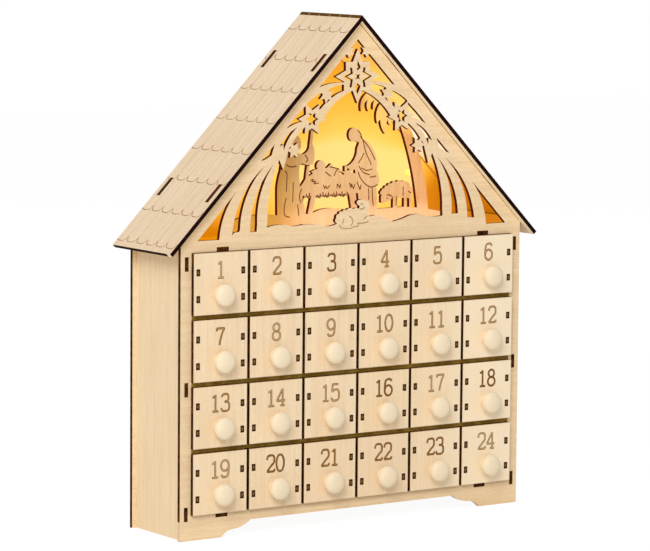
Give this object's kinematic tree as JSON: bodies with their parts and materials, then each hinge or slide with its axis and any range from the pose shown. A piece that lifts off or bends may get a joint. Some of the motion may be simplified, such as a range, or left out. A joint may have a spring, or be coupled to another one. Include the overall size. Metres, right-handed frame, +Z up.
{
  "type": "wooden advent calendar",
  "caption": "House-shaped plywood advent calendar with a grid of numbered knob-pull drawers under a lit fretwork gable that frames a silhouette nativity scene.",
  "frame": {"origin": "on the table, under the middle of the calendar's overall width and depth", "axes": "+X to the right seen from the front, +Y from the drawers to the back panel, +Z up to the ridge"},
  "size_m": [0.324, 0.0958, 0.3688],
  "materials": {
    "drawer_wood": "bare pale plywood with dark cut edges",
    "panel_wood": "bare pale plywood with dark cut edges",
    "grid_wood": "bare plywood, browned front edges",
    "scene_wood": "bare pale plywood with engraved lines",
    "box_plastic": "moulded matte black",
    "cell_jacket": "plain satin jacket",
    "contact_steel": "bare spring steel",
    "switch_plastic": "moulded light grey",
    "bulb_lens": "warm clear lens",
    "socket_plastic": "moulded matte black",
    "wire_jacket": "matte black jacket"
  },
  "bodies": {
    "case": {"front_panel": "panel_wood", "back_panel": "panel_wood", "left_side_panel": "panel_wood", "right_side_panel": "panel_wood", "left_roof_panel": "panel_wood", "right_roof_panel": "panel_wood", "base_panel": "panel_wood", "scene_floor": "panel_wood", "shelf_1": "grid_wood", "shelf_2": "grid_wood", "shelf_3": "grid_wood", "divider_1": "grid_wood", "divider_2": "grid_wood", "divider_3": "grid_wood", "divider_4": "grid_wood", "divider_5": "grid_wood", "nativity_panel": "scene_wood", "battery_box": "box_plastic", "battery_1": "cell_jacket", "battery_2": "cell_jacket", "battery_contacts": "contact_steel", "led_bulb_1": "bulb_lens", "led_bulb_2": "bulb_lens", "led_bulb_3": "bulb_lens", "led_bulb_4": "bulb_lens", "led_socket_1": "socket_plastic", "led_socket_2": "socket_plastic", "led_socket_3": "socket_plastic", "led_socket_4": "socket_plastic", "light_wire": "wire_jacket"},
    "drawer_01": {"drawer_01": "drawer_wood"},
    "drawer_02": {"drawer_02": "drawer_wood"},
    "drawer_03": {"drawer_03": "drawer_wood"},
    "drawer_04": {"drawer_04": "drawer_wood"},
    "drawer_05": {"drawer_05": "drawer_wood"},
    "drawer_06": {"drawer_06": "drawer_wood"},
    "drawer_07": {"drawer_07": "drawer_wood"},
    "drawer_08": {"drawer_08": "drawer_wood"},
    "drawer_09": {"drawer_09": "drawer_wood"},
    "drawer_10": {"drawer_10": "drawer_wood"},
    "drawer_11": {"drawer_11": "drawer_wood"},
    "drawer_12": {"drawer_12": "drawer_wood"},
    "drawer_13": {"drawer_13": "drawer_wood"},
    "drawer_14": {"drawer_14": "drawer_wood"},
    "drawer_15": {"drawer_15": "drawer_wood"},
    "drawer_16": {"drawer_16": "drawer_wood"},
    "drawer_17": {"drawer_17": "drawer_wood"},
    "drawer_18": {"drawer_18": "drawer_wood"},
    "drawer_19": {"drawer_19": "drawer_wood"},
    "drawer_20": {"drawer_20": "drawer_wood"},
    "drawer_21": {"drawer_21": "drawer_wood"},
    "drawer_22": {"drawer_22": "drawer_wood"},
    "drawer_23": {"drawer_23": "drawer_wood"},
    "drawer_24": {"drawer_24": "drawer_wood"},
    "battery_door": {"battery_door": "box_plastic"},
    "switch_slider": {"switch_slider": "switch_plastic"}
  },
  "joints": [
    {"name": "drawer_01_slide", "type": "slide", "parent": "case", "child": "drawer_01", "axis": [0, -1, 0], "range_m": [0, 0.05]},
    {"name": "drawer_02_slide", "type": "slide", "parent": "case", "child": "drawer_02", "axis": [0, -1, 0], "range_m": [0, 0.05]},
    {"name": "drawer_03_slide", "type": "slide", "parent": "case", "child": "drawer_03", "axis": [0, -1, 0], "range_m": [0, 0.05]},
    {"name": "drawer_04_slide", "type": "slide", "parent": "case", "child": "drawer_04", "axis": [0, -1, 0], "range_m": [0, 0.05]},
    {"name": "drawer_05_slide", "type": "slide", "parent": "case", "child": "drawer_05", "axis": [0, -1, 0], "range_m": [0, 0.05]},
    {"name": "drawer_06_slide", "type": "slide", "parent": "case", "child": "drawer_06", "axis": [0, -1, 0], "range_m": [0, 0.05]},
    {"name": "drawer_07_slide", "type": "slide", "parent": "case", "child": "drawer_07", "axis": [0, -1, 0], "range_m": [0, 0.05]},
    {"name": "drawer_08_slide", "type": "slide", "parent": "case", "child": "drawer_08", "axis": [0, -1, 0], "range_m": [0, 0.05]},
    {"name": "drawer_09_slide", "type": "slide", "parent": "case", "child": "drawer_09", "axis": [0, -1, 0], "range_m": [0, 0.05]},
    {"name": "drawer_10_slide", "type": "slide", "parent": "case", "child": "drawer_10", "axis": [0, -1, 0], "range_m": [0, 0.05]},
    {"name": "drawer_11_slide", "type": "slide", "parent": "case", "child": "drawer_11", "axis": [0, -1, 0], "range_m": [0, 0.05]},
    {"name": "drawer_12_slide", "type": "slide", "parent": "case", "child": "drawer_12", "axis": [0, -1, 0], "range_m": [0, 0.05]},
    {"name": "drawer_13_slide", "type": "slide", "parent": "case", "child": "drawer_13", "axis": [0, -1, 0], "range_m": [0, 0.05]},
    {"name": "drawer_14_slide", "type": "slide", "parent": "case", "child": "drawer_14", "axis": [0, -1, 0], "range_m": [0, 0.05]},
    {"name": "drawer_15_slide", "type": "slide", "parent": "case", "child": "drawer_15", "axis": [0, -1, 0], "range_m": [0, 0.05]},
    {"name": "drawer_16_slide", "type": "slide", "parent": "case", "child": "drawer_16", "axis": [0, -1, 0], "range_m": [0, 0.05]},
    {"name": "drawer_17_slide", "type": "slide", "parent": "case", "child": "drawer_17", "axis": [0, -1, 0], "range_m": [0, 0.05]},
    {"name": "drawer_18_slide", "type": "slide", "parent": "case", "child": "drawer_18", "axis": [0, -1, 0], "range_m": [0, 0.05]},
    {"name": "drawer_19_slide", "type": "slide", "parent": "case", "child": "drawer_19", "axis": [0, -1, 0], "range_m": [0, 0.05]},
    {"name": "drawer_20_slide", "type": "slide", "parent": "case", "child": "drawer_20", "axis": [0, -1, 0], "range_m": [0, 0.05]},
    {"name": "drawer_21_slide", "type": "slide", "parent": "case", "child": "drawer_21", "axis": [0, -1, 0], "range_m": [0, 0.05]},
    {"name": "drawer_22_slide", "type": "slide", "parent": "case", "child": "drawer_22", "axis": [0, -1, 0], "range_m": [0, 0.05]},
    {"name": "drawer_23_slide", "type": "slide", "parent": "case", "child": "drawer_23", "axis": [0, -1, 0], "range_m": [0, 0.05]},
    {"name": "drawer_24_slide", "type": "slide", "parent": "case", "child": "drawer_24", "axis": [0, -1, 0], "range_m": [0, 0.05]},
    {"name": "battery_door_slide", "type": "slide", "parent": "case", "child": "battery_door", "axis": [1, 0, 0], "range_m": [0, 0.04]},
    {"name": "switch_slide", "type": "slide", "parent": "case", "child": "switch_slider", "axis": [0, 0, -1], "range_m": [0, 0.004]}
  ]
}
